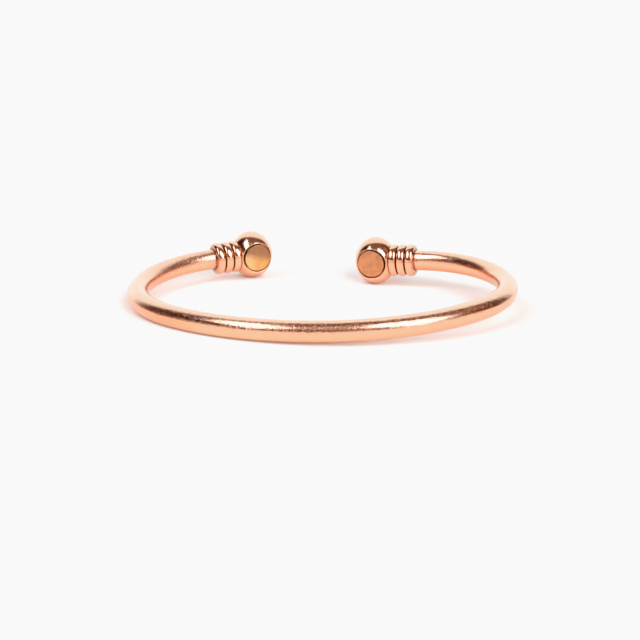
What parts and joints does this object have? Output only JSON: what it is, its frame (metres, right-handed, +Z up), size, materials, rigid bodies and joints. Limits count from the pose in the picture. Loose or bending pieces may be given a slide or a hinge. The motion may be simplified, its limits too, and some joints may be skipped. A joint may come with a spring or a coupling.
{
  "type": "magnetic bracelet",
  "caption": "Open oval bangle of round polished copper rod, each end with rounded rings and a flattened ball that holds a flat magnet disc facing the wrist, lying on its side.",
  "frame": {"origin": "middle of the bangle's footprint, on the surface it lies on", "axes": "+Z up from the surface, +X across the bangle's width to its right end seen from the closed front, +Y from the closed front to the gap between the balls"},
  "size_m": [0.0738, 0.0616, 0.0095],
  "materials": {
    "copper_rod": "polished copper with fine grain",
    "copper_terminal": "polished copper",
    "magnet_face": "satin copper-coloured plating"
  },
  "bodies": {
    "root": {"bangle_rod": "copper_rod", "left_terminal": "copper_terminal", "right_terminal": "copper_terminal", "left_magnet": "magnet_face", "right_magnet": "magnet_face"}
  },
  "joints": []
}
